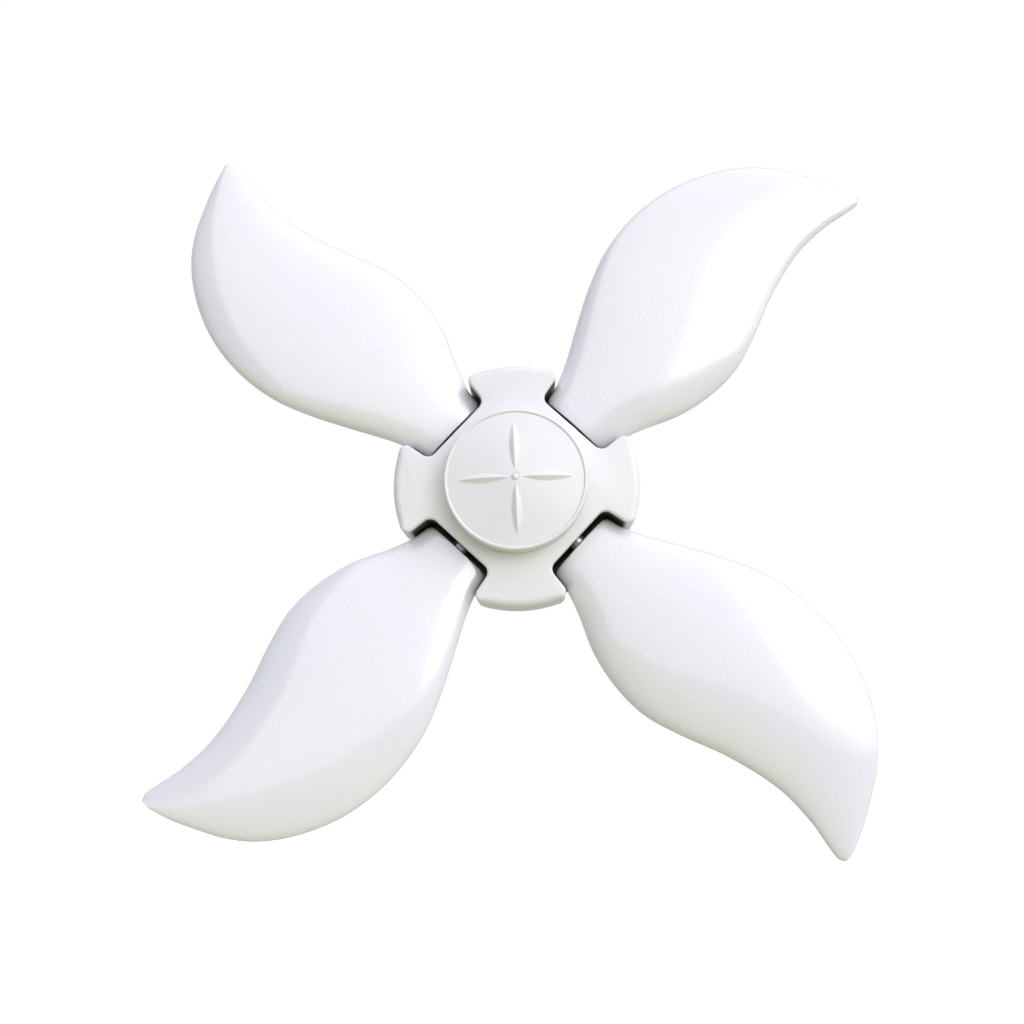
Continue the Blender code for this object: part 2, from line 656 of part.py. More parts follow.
def make_blades():
    """Each blade is carved wood with a steel stud let into its root and pinned from behind."""
    blade_mesh = mesh_of("blade", loft_blade)
    along = (0, math.radians(90), 0)
    chamfer = 1 * MM
    collar = ROOT_FACE - 0.4 * MM
    groove_outer, groove_inner = LOCK_GROOVE + LOCK_GROOVE_HALF, LOCK_GROOVE - LOCK_GROOVE_HALF
    stud_profile = [
        (0, STUD_OUTER_END), (STUD_SHANK_RADIUS, STUD_OUTER_END - 3 * MM), (STUD_SHANK_RADIUS, collar),
        (STUD_RADIUS, collar), (STUD_RADIUS, groove_outer), (LOCK_GROOVE_RADIUS, groove_outer),
        (LOCK_GROOVE_RADIUS, groove_inner), (STUD_RADIUS, groove_inner),
        (STUD_RADIUS, STUD_INNER_END + chamfer), (STUD_RADIUS - chamfer, STUD_INNER_END),
        (0, STUD_INNER_END),
    ]
    for k, axis in enumerate(PITCH_AXES, 1):
        blade = add_object(f"blade_{k}", blade_mesh, axis, "blade_enamel")
        bore = rod(
            f"stud_bore_{k}", STUD_SHANK_RADIUS + GAP, ROOT_FACE - 10 * MM, STUD_OUTER_END + 1 * MM, axis,
            segments=16, rotation=along,
        )
        pin_hole = rod(
            f"pin_hole_{k}", PIN_RADIUS + GAP, -30 * MM, PIN_FRONT + GAP, axis, segments=10,
            location=(PIN_STATION, 0, 0),
        )
        boolean(blade, bore)
        boolean(blade, pin_hole)
        stud = turned(f"blade_stud_{k}", stud_profile, 14, axis, "steel", closed=False, rotation=along)
        boolean(stud, pin_hole)
        rod(
            f"blade_pin_{k}", PIN_RADIUS, PIN_REAR, PIN_FRONT, axis, "steel", segments=10,
            location=(PIN_STATION, 0, 0),
        )


def make_stud_holes():
    """The sockets that the blade studs turn in, cut through the plates and into the core."""
    radius, start, end = STUD_RADIUS + 0.4 * MM, STUD_INNER_END - 1 * MM, NOTCH_FLOOR + 6 * MM
    along = (0, math.radians(90), 0)
    return [
        rod(f"stud_hole_{k}", radius, start, end, axis, segments=16, rotation=along)
        for k, axis in enumerate(PITCH_AXES, 1)
    ]


def make_core_bolt_holes():
    """The holes for the four bolts that run through both plates and the core."""
    start, end = HUB_REAR - 10 * MM, HUB_FRONT + 20 * MM
    places = [around(angle, CORE_BOLT_CIRCLE) for angle in LOBE_ANGLES]
    return [
        rod(f"core_bolt_hole_{k}", M6 + GAP, start, end, ROTOR, segments=12, location=place)
        for k, place in enumerate(places, 1)
    ]


def shade_round_pieces():
    """Gives every part its finished mesh, smooth but for its corners."""
    depsgraph = bpy.context.evaluated_depsgraph_get()
    finished = [
        (obj, bpy.data.meshes.new_from_object(obj.evaluated_get(depsgraph)))
        for obj in PARTS.objects
        if obj.type == "MESH"
    ]
    for obj, mesh in finished:
        obj.modifiers.clear()
        obj.data = mesh
        mesh.name = obj.name
        mesh.shade_smooth()
        mesh.set_sharp_from_angle(angle=SHARP_ANGLE)


clear_scene()
PARTS = new_collection("wooden_propeller")
CUTTERS = new_collection("cutters", hidden=True)
MATERIALS = make_materials()
ROTOR = new_empty("rotor_axis", rotation=(math.radians(90), 0, 0))
PITCH_AXES = [
    new_empty(f"pitch_axis_{k}", ROTOR, (0, 0, PITCH_PLANE), (0, 0, angle))
    for k, angle in enumerate(BLADE_ANGLES, 1)
]

STUD_HOLES = make_stud_holes()
CORE_BOLT_HOLES = make_core_bolt_holes()
make_hub_plates(STUD_HOLES, CORE_BOLT_HOLES)
make_hub_core(STUD_HOLES, CORE_BOLT_HOLES)
make_bearing("rear", REAR_BEARING)
make_bearing("front", FRONT_BEARING)
make_spindle()
make_cap()
make_cap_bridge(CORE_BOLT_HOLES)
make_core_bolts(CORE_BOLT_HOLES)
make_hub_screws()
make_lock_screws()
make_blades()
shade_round_pieces()
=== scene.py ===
"""The looks of the wooden propeller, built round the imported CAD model.

The blades, the hub plates, the cap and its screw are remade here as fine meshes and stand for their CAD
nodes. The other fasteners, the studs, bearings and spindle are the CAD nodes with materials of their own.
Everything is in metres: +Z is up, and the rotor's axis runs along Y, with its front towards -Y. "Height"
below is the distance forward, along -Y.
"""

import json
import math

import bmesh
import bpy
from mathutils import Matrix, Vector


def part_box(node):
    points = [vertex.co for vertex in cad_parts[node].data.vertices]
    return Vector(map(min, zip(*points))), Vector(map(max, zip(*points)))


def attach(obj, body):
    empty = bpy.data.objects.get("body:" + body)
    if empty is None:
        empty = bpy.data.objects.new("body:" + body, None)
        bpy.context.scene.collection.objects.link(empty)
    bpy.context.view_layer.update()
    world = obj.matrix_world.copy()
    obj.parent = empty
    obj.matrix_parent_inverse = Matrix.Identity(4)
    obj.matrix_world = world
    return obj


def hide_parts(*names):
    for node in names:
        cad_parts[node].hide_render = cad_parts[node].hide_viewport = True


MM = 0.001

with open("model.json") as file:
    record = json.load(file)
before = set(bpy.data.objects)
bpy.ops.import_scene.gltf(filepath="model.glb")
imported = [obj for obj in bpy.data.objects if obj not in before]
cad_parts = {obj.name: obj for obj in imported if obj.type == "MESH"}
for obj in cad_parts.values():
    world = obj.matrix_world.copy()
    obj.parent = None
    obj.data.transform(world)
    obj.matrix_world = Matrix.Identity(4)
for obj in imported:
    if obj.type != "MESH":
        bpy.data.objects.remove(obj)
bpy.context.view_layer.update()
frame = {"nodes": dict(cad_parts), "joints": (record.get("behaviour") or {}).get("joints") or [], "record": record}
NODES = frame["nodes"]
SPIN = next(joint for joint in frame["joints"] if joint["name"] == "spin")
PITCHES = [joint for joint in frame["joints"] if joint["name"].endswith("_pitch")]
FRONT = Vector(SPIN["axis"])  # the way that the propeller faces
TO_ROTOR = Matrix.Rotation(math.radians(90), 4, "X")  # lays local +Z along FRONT

# Sizes that the frame holds
HUB_FRONT = -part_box("hub_front_plate")[0].y
HUB_REAR = -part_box("hub_rear_plate")[1].y
HUB_SPLIT = -(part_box("hub_front_plate")[1].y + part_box("hub_rear_plate")[0].y) / 2
HUB_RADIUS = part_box("hub_front_plate")[1].x
CAP_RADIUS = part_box("hub_cap")[1].x
CAP_FOOT = -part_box("hub_cap")[1].y
CORE_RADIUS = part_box("hub_core")[1].x

# Sizes as in the CAD model
GAP = 0.3 * MM  # between neighbouring solids that touch on the real object
CORE_REAR = 26 * MM
CORE_FRONT = 54 * MM
BARREL_RADIUS = 28 * MM
CORE_BOLT_RADIUS = 3 * MM
HUB_SCREW_RADIUS = 4 * MM
SCREW_SEAT_RADIUS = 7 * MM
SCREW_SEAT_DEPTH = 8.5 * MM
INSERT_COVER = 5.5 * MM
KEY_HOLE_RADIUS = 4.8 * MM

WHITE = (1.0, 1.0, 1.0, 1.0)


# ---------------------------------------------------------------- node helpers


class Nodes:
    """A short way to write a material's or a world's nodes."""

    def __init__(self, tree):
        self.tree = tree
        self.tree.nodes.clear()

    def add(self, kind, settings=None, **inputs):
        """One node with its settings; an input is a value or another node's output."""
        node = self.tree.nodes.new(kind)
        for key, value in (settings or {}).items():
            setattr(node, key, value)
        for key, value in inputs.items():
            self.put(node.inputs[key.replace("_", " ")], value)
        return node

    def put(self, socket, value):
        if isinstance(value, bpy.types.NodeSocket):
            self.tree.links.new(value, socket)
        else:
            socket.default_value = value

    def math(self, operation, first, second=0.0, third=0.0):
        node = self.tree.nodes.new("ShaderNodeMath")
        node.operation = operation
        for socket, value in zip(node.inputs, (first, second, third)):
            self.put(socket, value)
        return node.outputs[0]

    def mix(self, factor, first, second):
        node = self.tree.nodes.new("ShaderNodeMix")
        node.data_type = "RGBA"
        self.put(node.inputs["Factor"], factor)
        self.put(node.inputs["A"], first)
        self.put(node.inputs["B"], second)
        return node.outputs["Result"]

    def step(self, value, start, end, low=0.0, high=1.0):
        """A smooth step: low up to start, high from end on."""
        node = self.tree.nodes.new("ShaderNodeMapRange")
        node.interpolation_type = "SMOOTHSTEP"
        inputs = {"Value": value, "From Min": start, "From Max": end, "To Min": low, "To Max": high}
        for key, item in inputs.items():
            self.put(node.inputs[key], item)
        return node.outputs["Result"]

    def noise(self, place, scale, detail=3.0, roughness=0.5, stretch=(1, 1, 1)):
        mapped = self.add("ShaderNodeMapping", Vector=place, Scale=stretch)
        place = mapped.outputs["Vector"]
        node = self.add("ShaderNodeTexNoise", Vector=place, Scale=scale, Detail=detail, Roughness=roughness)
        return node.outputs["Fac"]

    def bump(self, height, distance, strength):
        node = self.add("ShaderNodeBump", Height=height, Distance=distance, Strength=strength)
        return node.outputs["Normal"]


def new_material(name, fixed, build):
    """A Principled material: fixed holds the inputs that are the same all over, build links the rest."""
    material = bpy.data.materials.new(name)
    material.use_nodes = True
    nodes = Nodes(material.node_tree)
    shader = nodes.add("ShaderNodeBsdfPrincipled")
    for key, value in fixed.items():
        shader.inputs[key].default_value = value
    output = nodes.add("ShaderNodeOutputMaterial")
    nodes.tree.links.new(shader.outputs["BSDF"], output.inputs["Surface"])
    place = nodes.add("ShaderNodeTexCoord").outputs["Object"]
    for key, value in build(nodes, place).items():
        nodes.put(shader.inputs[key], value)
    return material


def colour(red, green, blue):
    return (red, green, blue, 1.0)


# ---------------------------------------------------------------- materials


def blade_place(nodes, place):
    """How far out a point is, and the point in its own blade's directions: out, across and forward.

    The blades lie on the diagonals, so the absolute values fold all four together. The signs then move each
    blade to a stretch of noise of its own.
    """
    x, y, z = nodes.add("ShaderNodeSeparateXYZ", Vector=place).outputs
    wide, tall = nodes.math("ABSOLUTE", x), nodes.math("ABSOLUTE", z)
    diagonal = math.sqrt(0.5)
    out = nodes.math("MULTIPLY", nodes.math("ADD", wide, tall), diagonal)
    across = nodes.math("MULTIPLY", nodes.math("SUBTRACT", wide, tall), diagonal)
    up_or_down = nodes.math("MULTIPLY", nodes.math("SIGN", z), 5)
    apart = nodes.math("MULTIPLY_ADD", nodes.math("SIGN", x), 3, up_or_down)
    own = nodes.add("ShaderNodeCombineXYZ", X=out, Y=across, Z=nodes.math("ADD", y, apart))
    return out, own.outputs["Vector"]


def blade_enamel():
    """Thick white enamel over carved wood. The root's end is bare end grain, its brown darkened to near-black as
    painted shade of the gap between root and hub.
    """

    def build(nodes, place):
        out, place = blade_place(nodes, place)
        cloud = nodes.noise(place, 9, 4, 0.6)
        peel = nodes.noise(place, 330, 3, 0.6)
        grain = nodes.noise(place, 110, 3, 0.6, (0.06, 1, 1))
        ragged = nodes.noise(place, 700, 2)
        dull, clear = colour(0.845, 0.845, 0.875), colour(0.87, 0.862, 0.865)
        paint = nodes.mix(nodes.step(cloud, 0.3, 0.7), dull, clear)
        paint = nodes.mix(nodes.step(peel, 0.35, 0.7, 0, 0.5), paint, colour(0.90, 0.90, 0.92))
        near_root = nodes.step(out, ROOT_FACE + 1.5 * MM, ROOT_FACE + 12 * MM, 0.3, 0)
        paint = nodes.mix(nodes.math("MULTIPLY", near_root, cloud), paint, colour(0.62, 0.60, 0.55))
        fibres = nodes.noise(place, 420, 3, 0.6, (1, 0.25, 1))
        # the root end's bare wood, near-black: its own brown with painted shade of the gap at the hub
        bare_wood_and_shade = nodes.mix(fibres, colour(0.035, 0.026, 0.016), colour(0.13, 0.095, 0.055))
        edge = nodes.math("ADD", out, nodes.math("MULTIPLY", ragged, 1.2 * MM))
        painted = nodes.step(edge, ROOT_FACE + 1.0 * MM, ROOT_FACE + 1.8 * MM)
        height = nodes.math("ADD", nodes.math("MULTIPLY", peel, 0.5), grain)
        bare_roughness = nodes.step(peel, 0.3, 0.7, 0.8, 0.86)
        return {
            "Base Color": nodes.mix(painted, bare_wood_and_shade, paint),
            "Roughness": nodes.math("ADD", nodes.math("MULTIPLY", painted, -0.6), bare_roughness),
            "Coat Weight": painted,
            "Coat Roughness": nodes.step(cloud, 0.3, 0.7, 0.03, 0.08),
            "Normal": nodes.bump(height, 0.05 * MM, 0.25),
        }

    return new_material("blade_enamel", {"IOR": 1.6, "Coat IOR": 1.75}, build)


def hub_paint(name, primer_and_shade_below=None):
    """Satin white paint on a casting, greyer than the blades. Where the given mask is 1 it turns near-black: bare
    primer, darkened as painted shade of the gaps round the blade roots.
    """

    def build(nodes, place):
        axes = nodes.add("ShaderNodeSeparateXYZ", Vector=place)
        cloud = nodes.noise(place, 14, 4, 0.6)
        cast = nodes.noise(place, 420, 3, 0.6)
        spots = nodes.noise(place, 160, 2)
        dull, clear = colour(0.815, 0.815, 0.81), colour(0.86, 0.855, 0.85)
        paint = nodes.mix(nodes.step(cloud, 0.3, 0.7), dull, clear)
        paint = nodes.mix(nodes.step(spots, 0.68, 0.78, 0, 0.2), paint, colour(0.70, 0.69, 0.66))
        if primer_and_shade_below is None:
            result = paint
        else:
            # near-black primer, which also stands as painted shade in the gaps round the blade roots
            result = nodes.mix(primer_and_shade_below(nodes, axes, cast), paint, colour(0.045, 0.038, 0.026))
        height = nodes.math("ADD", cast, nodes.math("MULTIPLY", cloud, 2.0))
        return {
            "Base Color": result,
            "Roughness": nodes.step(cloud, 0.25, 0.75, 0.38, 0.5),
            "Normal": nodes.bump(height, 0.15 * MM, 0.35),
        }

    return new_material(name, {"Coat Weight": 0.1, "Coat Roughness": 0.3}, build)


def metal(name, dark, light, roughness):
    """A bare or plated metal with fine tool marks and a little dulling."""

    def build(nodes, place):
        marks = nodes.noise(place, 900, 3, 0.6)
        cloud = nodes.noise(place, 60, 3)
        return {
            "Base Color": nodes.mix(nodes.step(cloud, 0.3, 0.7), dark, light),
            "Roughness": nodes.step(marks, 0.2, 0.8, roughness - 0.08, roughness + 0.12),
            "Normal": nodes.bump(marks, 0.04 * MM, 0.4),
        }

    return new_material(name, {"Metallic": 1.0}, build)


def seal_rubber():
    def build(nodes, place):
        dust = nodes.noise(place, 200, 4, 0.65)
        clean, dusty = colour(0.012, 0.012, 0.013), colour(0.05, 0.048, 0.044)
        return {
            "Base Color": nodes.mix(nodes.step(dust, 0.45, 0.75), clean, dusty),
            "Roughness": nodes.step(dust, 0.3, 0.7, 0.6, 0.85),
            "Normal": nodes.bump(dust, 0.1 * MM, 0.5),
        }

    return new_material("seal_rubber", {}, build)


def studio_floor():
    def build(nodes, place):
        cloud = nodes.noise(place, 2, 2)
        return {
            "Base Color": nodes.mix(cloud, colour(0.86, 0.86, 0.86), colour(0.9, 0.9, 0.9)),
            "Emission Color": WHITE,
        }

    return new_material("studio_floor", {"Roughness": 0.9, "Emission Strength": 0.35}, build)


# ---------------------------------------------------------------- mesh helpers


def new_piece(name, bm, material, body, replaces, sharp_angle, matrix=TO_ROTOR):
    """Turns a bmesh into a piece, laid in place, that rides on a body and stands for its CAD nodes."""
    bm.transform(matrix)
    piece = as_object(name, bm)
    piece.data.shade_smooth()
    piece.data.set_sharp_from_angle(angle=math.radians(sharp_angle))
    piece.data.materials.append(material)
    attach(piece, body)
    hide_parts(*replaces)


def skin(bm, rings, closed=False):
    """Quads between rings of the same number of points."""
    rows = [[bm.verts.new(point) for point in ring] for ring in rings]
    pairs = list(zip(rows, rows[1:]))
    if closed:
        pairs.append((rows[-1], rows[0]))
    for first, second in pairs:
        for i in range(len(first)):
            j = (i + 1) % len(first)
            bm.faces.new((first[i], second[i], second[j], first[j]))
    return rows


def smooth_value(points, at):
    """The value at one distance out, on a smooth curve through (distance, value) points."""
    last = len(points) - 1
    slopes = []
    for i in range(last + 1):
        before, after = points[max(i - 1, 0)], points[min(i + 1, last)]
        slopes.append((after[1] - before[1]) / (after[0] - before[0]))
    index = next((i for i in range(last) if at <= points[i + 1][0]), last - 1)
    (x0, v0), (x1, v1) = points[index], points[index + 1]
    width = x1 - x0
    t = (at - x0) / width
    return (
        v0 * (1 + 2 * t) * (1 - t) ** 2
        + slopes[index] * width * t * (1 - t) ** 2
        + v1 * t * t * (3 - 2 * t)
        + slopes[index + 1] * width * t * t * (t - 1)
    )


# ---------------------------------------------------------------- blades

ROOT_FACE = 73.2 * MM

# The blade's outline and section as in the CAD model: (distance out from the rotor's axis, value) in mm
LEADING_EDGE = [
    (73.2, 29.5), (75, 32.2), (78, 33.8), (85, 35), (92, 36.6), (112, 44.4), (144, 60.2), (176, 75),
    (208, 86), (240, 90.3), (272, 88.6), (304, 80.2), (336, 63.6), (360, 43.8), (376, 22.5), (388, -1.5),
    (396, -20), (401, -37),
]
TRAILING_EDGE = [
    (73.2, -29.5), (75, -32.2), (78, -33.8), (85, -35), (92, -36.4), (112, -44.5), (144, -60.5), (176, -69),
    (208, -70.4), (240, -62.8), (280, -49.5), (325, -41), (360, -42.8), (385, -48.5), (396, -50.5),
    (401, -48.5),
]
LEADING_HEIGHT = [(73.2, -1), (112, 3), (180, 8), (260, 9), (330, 9), (401, 8)]
TRAILING_HEIGHT = [(73.2, -3), (112, -2.5), (180, 0), (250, 4), (330, 7), (401, 8)]
FRONT_CROWN = [(73.2, 12), (110, 14.5), (150, 16), (210, 16), (290, 13.2), (350, 9.5), (401, 4.5)]
BACK_DEPTH = [(73.2, 12), (110, 12), (135, 11), (180, 9), (250, 7), (330, 5), (401, 3)]
ALONG_STEPS = 110
AROUND_STEPS = 72
SECTION_POWER = 0.8  # 1 is an ellipse, and less is squarer at the edges


def blade_ring(station):
    """The section at one distance out: leading edge, crowned front, trailing edge, then the back."""
    lead, trail = smooth_value(LEADING_EDGE, station), smooth_value(TRAILING_EDGE, station)
    lead_height = smooth_value(LEADING_HEIGHT, station)
    trail_height = smooth_value(TRAILING_HEIGHT, station)
    crown, depth = smooth_value(FRONT_CROWN, station), smooth_value(BACK_DEPTH, station)
    ring = []
    for i in range(AROUND_STEPS):
        turn = 2 * math.pi * i / AROUND_STEPS
        across = (1 - math.cos(turn)) / 2
        fullness = abs(math.sin(turn)) ** SECTION_POWER
        height = crown if i <= AROUND_STEPS / 2 else -depth
        z = lead_height + (trail_height - lead_height) * across + height * fullness
        ring.append(Vector((station, lead + (trail - lead) * across, z)) * MM)
    return ring


def blade_stations():
    """Distances out, closer together towards the rounded root and the tip."""
    first, last = LEADING_EDGE[0][0], LEADING_EDGE[-1][0]
    middle, half = (first + last) / 2, (last - first) / 2
    return [middle - half * math.cos(math.pi * i / ALONG_STEPS) for i in range(ALONG_STEPS + 1)]


def make_blades(material):
    for k, joint in enumerate(PITCHES, 1):
        bm = bmesh.new()
        rows = skin(bm, [blade_ring(station) for station in blade_stations()])
        bm.faces.new(rows[0])
        bm.faces.new(reversed(rows[-1]))
        outward = Vector(joint["axis"]).normalized()
        leading = FRONT.cross(outward)
        turn = Matrix((outward, leading, FRONT)).transposed().to_4x4()
        place = Matrix.Translation(joint["pos_m"]) @ turn
        name = f"enamelled_blade_{k}"
        new_piece(name, bm, material, joint["child"], (f"blade_{k}",), 60, place)


# ---------------------------------------------------------------- hub plates

NOTCH_FLOOR = 69.5 * MM
NOTCH_FLOOR_HALF = 34.5 * MM
NOTCH_MOUTH = 97.5 * MM
NOTCH_MOUTH_HALF = 38.8 * MM
NOTCH_FILLET = 8 * MM
LOBE_TIP_FILLET = 6.5 * MM
RIM_ROUND = 6.5 * MM
NOTCH_ROUND = 2.2 * MM
RIM_BAND = 3 * MM  # how far in from the rim an edge still counts as a lobe's
WEB_RADIUS = 98 * MM
WEB_REAR = 0.4 * MM  # from the hub's rear, as is WEB_FRONT
WEB_FRONT = 2.8 * MM
BLADE_ANGLES = [math.radians(45 + 90 * k) for k in range(4)]


def fillet(before, corner, after, radius, steps=7):
    """The points of an arc that rounds one corner of an outline."""
    to_before = (before - corner).normalized()
    to_after = (after - corner).normalized()
    half = to_before.angle(to_after) / 2
    middle = corner + (to_before + to_after).normalized() * radius / math.sin(half)
    start = corner + to_before * radius / math.tan(half) - middle
    turn = math.copysign(math.pi - 2 * half, start.cross(corner - middle))
    return [middle + Matrix.Rotation(turn * i / steps, 2) @ start for i in range(steps + 1)]


def around(angle, distance):
    return Vector((distance * math.cos(angle), distance * math.sin(angle)))


def hub_outline():
    """The hub from the front: a round plate with a notch for each blade root, leaving four flared lobes."""
    rim_steps = 18
    mouth_angle = math.atan2(NOTCH_MOUTH_HALF, NOTCH_MOUTH)
    corners = []
    for angle in BLADE_ANGLES:
        turn = Matrix.Rotation(angle, 2)
        corners += [
            (turn @ Vector((NOTCH_MOUTH, -NOTCH_MOUTH_HALF)), LOBE_TIP_FILLET),
            (turn @ Vector((NOTCH_FLOOR, -NOTCH_FLOOR_HALF)), NOTCH_FILLET),
            (turn @ Vector((NOTCH_FLOOR, NOTCH_FLOOR_HALF)), NOTCH_FILLET),
            (turn @ Vector((NOTCH_MOUTH, NOTCH_MOUTH_HALF)), LOBE_TIP_FILLET),
        ]
        lobe_width = math.radians(90) - 2 * mouth_angle
        corners += [
            (around(angle + mouth_angle + lobe_width * step / rim_steps, HUB_RADIUS), 0)
            for step in range(2, rim_steps - 1)
        ]
    outline = []
    for i, (corner, radius) in enumerate(corners):
        before, after = corners[i - 1][0], corners[(i + 1) % len(corners)][0]
        outline += fillet(before, corner, after, radius) if radius else [corner]
    return outline


def edge_radius(point):
    """How far the edge is rounded: much along a lobe's rim, little in a notch."""
    quarter = math.radians(90)
    off_lobe = abs((math.atan2(point.y, point.x) + quarter / 2) % quarter - quarter / 2)
    lobe_half = quarter / 2 - math.atan2(NOTCH_MOUTH_HALF, NOTCH_MOUTH)
    along_rim = min(1.0, max(0.0, 2.5 * (1 - off_lobe / lobe_half)))
    on_rim = min(1.0, max(0.0, (point.length - HUB_RADIUS + RIM_BAND) / RIM_BAND))
    share = along_rim * on_rim
    share = share * share * (3 - 2 * share)
    return NOTCH_ROUND + (RIM_ROUND - NOTCH_ROUND) * share


def inward_normals(outline):
    normals = []
    for i in range(len(outline)):
        along = outline[(i + 1) % len(outline)] - outline[i - 1]
        normals.append(Vector((-along.y, along.x)).normalized())
    return normals


def disc(x, y, radius, low, high, sides=72):
    """A closed round slab as an object, to join or to cut with."""
    bm = bmesh.new()
    rings = []
    for height in (low, high):
        turns = [2 * math.pi * i / sides for i in range(sides)]
        rings.append([(x + radius * math.cos(turn), y + radius * math.sin(turn), height) for turn in turns])
    rows = skin(bm, rings)
    bm.faces.new(rows[0])
    bm.faces.new(reversed(rows[-1]))
    return as_object("disc", bm)


def as_object(name, bm):
    bmesh.ops.recalc_face_normals(bm, faces=bm.faces)
    mesh = bpy.data.meshes.new(name)
    bm.to_mesh(mesh)
    bm.free()
    made = bpy.data.objects.new(name, mesh)
    bpy.context.scene.collection.objects.link(made)
    return made


def shaped(bm, joined, holes):
    """The bmesh with one set of discs (x, y, radius, low, high) joined to it and another cut out of it."""
    solid = as_object("solid", bm)
    helpers = []
    for operation, discs in (("UNION", joined), ("DIFFERENCE", holes)):
        for sizes in discs:
            helpers.append(disc(*sizes))
            modifier = solid.modifiers.new(operation, "BOOLEAN")
            modifier.operation = operation
            modifier.object = helpers[-1]
    bpy.context.view_layer.update()
    result = bmesh.new()
    result.from_object(solid, bpy.context.evaluated_depsgraph_get())
    for helper in [solid, *helpers]:
        bpy.data.objects.remove(helper)
    return result


def node_place(node):
    """Where a node's middle is on the hub, seen from the front."""
    low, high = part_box(node)
    return (low.x + high.x) / 2, (low.z + high.z) / 2


def plate_holes(front):
    """The same holes as in the CAD plates, worked out from the pieces that sit in them."""
    beyond = 10 * MM
    low, high = HUB_REAR - beyond, HUB_FRONT + beyond
    core_front = CORE_FRONT + GAP
    holes = [
        (0, 0, BARREL_RADIUS + GAP, low, high),
        (0, 0, CORE_RADIUS + GAP, CORE_REAR - GAP, core_front),
    ]
    for k in range(1, 5):
        screw, insert = f"hub_screw_{k}", f"threaded_insert_{k}"
        holes.append((*node_place(f"core_bolt_{k}"), CORE_BOLT_RADIUS + GAP, low, high))
        if front:
            insert_low, insert_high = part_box(insert)
            radius = (insert_high.x - insert_low.x) / 2 + GAP
            holes.append((*node_place(insert), radius, HUB_SPLIT - beyond, HUB_FRONT - INSERT_COVER))
            holes.append((*node_place(f"pitch_lock_screw_{k}"), KEY_HOLE_RADIUS, core_front - beyond, high))
        else:
            seat = HUB_REAR + SCREW_SEAT_DEPTH + GAP
            holes.append((*node_place(screw), HUB_SCREW_RADIUS + GAP, low, HUB_SPLIT + beyond))
            holes.append((*node_place(screw), SCREW_SEAT_RADIUS, low, seat))
    return holes


def make_hub_plate(name, node, inner, outer, material):
    """One half of the hub: straight walls from the split, and an edge that rolls over into the outer face."""
    outline = hub_outline()
    normals = inward_normals(outline)
    facing = 1 if outer > inner else -1
    round_steps = 6
    rings = [[(*point, inner) for point in outline]]
    for i in range(round_steps + 1):
        turn = math.radians(90) * i / round_steps
        ring = []
        for point, normal in zip(outline, normals):
            radius = edge_radius(point)
            inset = point + normal * radius * (1 - math.cos(turn))
            ring.append((*inset, outer - facing * radius * (1 - math.sin(turn))))
        rings.append(ring)
    bm = bmesh.new()
    rows = skin(bm, rings)
    bm.faces.new(rows[0])
    bm.faces.new(reversed(rows[-1]))
    web = [] if facing > 0 else [(0, 0, WEB_RADIUS, HUB_REAR + WEB_REAR, HUB_REAR + WEB_FRONT)]
    plate = shaped(bm, web, plate_holes(facing > 0))
    new_piece(name, plate, material, "rotor", (node,), 30)


# ---------------------------------------------------------------- hub cap

CAP_RIM = 19.4 * MM  # above the hub's front, as is CAP_APEX
CAP_APEX = 26.8 * MM
CAP_WALL = 4 * MM
CAP_ROOF = 4 * MM
CAP_DOMING = 0.3  # 0 is a cone, and 1 is a paraboloid
BEAD_RADIUS = 1.6 * MM
BEAD_STEP = 0.9 * MM  # from the bead's top down to the foot of the cap's face
FOOT_ROUND = 0.6 * MM
SCREW_SEAT_HOLE = 3.8 * MM
SCREW_HOLE = 2.3 * MM
SCREW_SHANK = 1.9 * MM
RIB_START = 6 * MM
RIB_END = 47.5 * MM
RIB_HALF_WIDTH = 4.3 * MM
RIB_HEIGHT = 3.0 * MM


def cap_dome(distance):
    """The cap's face between its centre and its bead: a shallow cone, slightly domed."""
    foot = HUB_FRONT + CAP_RIM - BEAD_STEP
    out = distance / (CAP_RADIUS - 2 * BEAD_RADIUS)
    share = (1 - CAP_DOMING) * (1 - out) + CAP_DOMING * (1 - out**2)
    return foot + (HUB_FRONT + CAP_APEX - foot) * share


def rib_height(x, y):
    """Four leaf-shaped ribs in a cross, each with a soft crest."""
    result = 0.0
    for along, side in ((x, y), (y, -x), (-x, -y), (-y, x)):
        t = (along - RIB_START) / (RIB_END - RIB_START)
        if 0 < t < 1:
            leaf = math.sin(math.pi * t) ** 0.75
            half = RIB_HALF_WIDTH * leaf
            offset = abs(side) / half
            if offset < 1:
                crest = 0.8 * (1 - offset) + 0.2 * (0.5 + 0.5 * math.cos(math.pi * offset))
                result = max(result, RIB_HEIGHT * leaf * crest)
    return result


